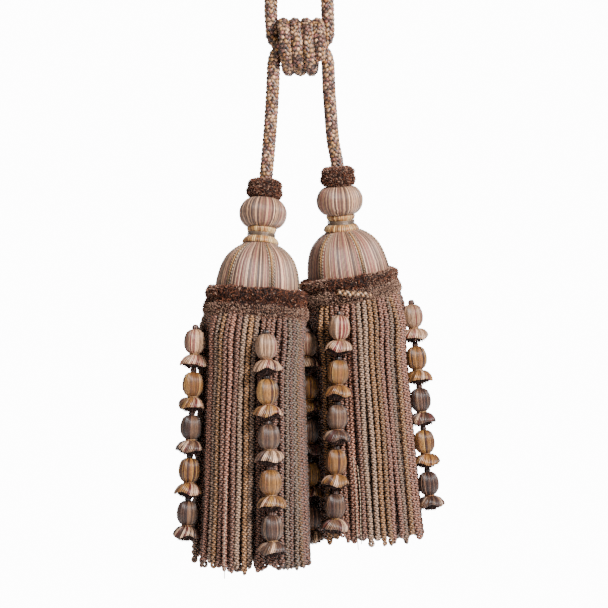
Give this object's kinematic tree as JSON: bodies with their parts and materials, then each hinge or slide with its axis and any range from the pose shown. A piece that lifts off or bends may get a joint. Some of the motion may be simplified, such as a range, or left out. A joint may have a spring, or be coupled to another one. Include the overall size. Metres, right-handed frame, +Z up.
{
  "type": "tassel tieback",
  "caption": "Curtain tieback: a plaited cord with a barrel knot under its hanging loop, ending in full tassels with chenille ruffs, bullion fringe and strings of thread-covered drops.",
  "frame": {"origin": "the inside of the hanging loop's top, where a hook carries the tieback", "axes": "+Z up along the hanging tieback, -Y to the front, +X to the right seen from the front"},
  "size_m": [0.1875, 0.1579, 0.4392],
  "materials": {
    "plaited_cord": "round plaited cord, satin",
    "chenille": "cut pile, matt",
    "rose_thread": "wound thread, satin",
    "gold_thread": "wound thread, satin",
    "wire_thread": "metallic thread, satin",
    "bullion_fringe": "twisted rayon cords, soft sheen",
    "rose_drop": "wound thread, satin",
    "gold_drop": "wound thread, satin",
    "mauve_drop": "wound thread, satin"
  },
  "bodies": {
    "root": {"tieback_cord": "plaited_cord", "knot_wrap": "plaited_cord", "left_top_ruff": "chenille", "left_ball": "rose_thread", "left_neck": "gold_thread", "left_wire_wrap": "wire_thread", "left_dome": "rose_thread", "left_collar_ruff": "chenille", "left_skirt": "bullion_fringe", "left_string_1_drop_1": "rose_drop", "left_string_1_drop_2": "gold_drop", "left_string_1_drop_3": "mauve_drop", "left_string_1_drop_4": "gold_drop", "left_string_1_drop_5": "mauve_drop", "left_string_2_drop_1": "rose_drop", "left_string_2_drop_2": "gold_drop", "left_string_2_drop_3": "mauve_drop", "left_string_2_drop_4": "gold_drop", "left_string_2_drop_5": "mauve_drop", "left_string_3_drop_1": "rose_drop", "left_string_3_drop_2": "gold_drop", "left_string_3_drop_3": "mauve_drop", "left_string_3_drop_4": "gold_drop", "left_string_3_drop_5": "mauve_drop", "left_string_4_drop_1": "rose_drop", "left_string_4_drop_2": "gold_drop", "left_string_4_drop_3": "mauve_drop", "left_string_4_drop_4": "gold_drop", "left_string_4_drop_5": "mauve_drop", "right_top_ruff": "chenille", "right_ball": "rose_thread", "right_neck": "gold_thread", "right_wire_wrap": "wire_thread", "right_dome": "rose_thread", "right_collar_ruff": "chenille", "right_skirt": "bullion_fringe", "right_string_1_drop_1": "rose_drop", "right_string_1_drop_2": "gold_drop", "right_string_1_drop_3": "mauve_drop", "right_string_1_drop_4": "gold_drop", "right_string_1_drop_5": "mauve_drop", "right_string_2_drop_1": "rose_drop", "right_string_2_drop_2": "gold_drop", "right_string_2_drop_3": "mauve_drop", "right_string_2_drop_4": "gold_drop", "right_string_2_drop_5": "mauve_drop", "right_string_3_drop_1": "rose_drop", "right_string_3_drop_2": "gold_drop", "right_string_3_drop_3": "mauve_drop", "right_string_3_drop_4": "gold_drop", "right_string_3_drop_5": "mauve_drop", "right_string_4_drop_1": "rose_drop", "right_string_4_drop_2": "gold_drop", "right_string_4_drop_3": "mauve_drop", "right_string_4_drop_4": "gold_drop", "right_string_4_drop_5": "mauve_drop"}
  },
  "joints": []
}
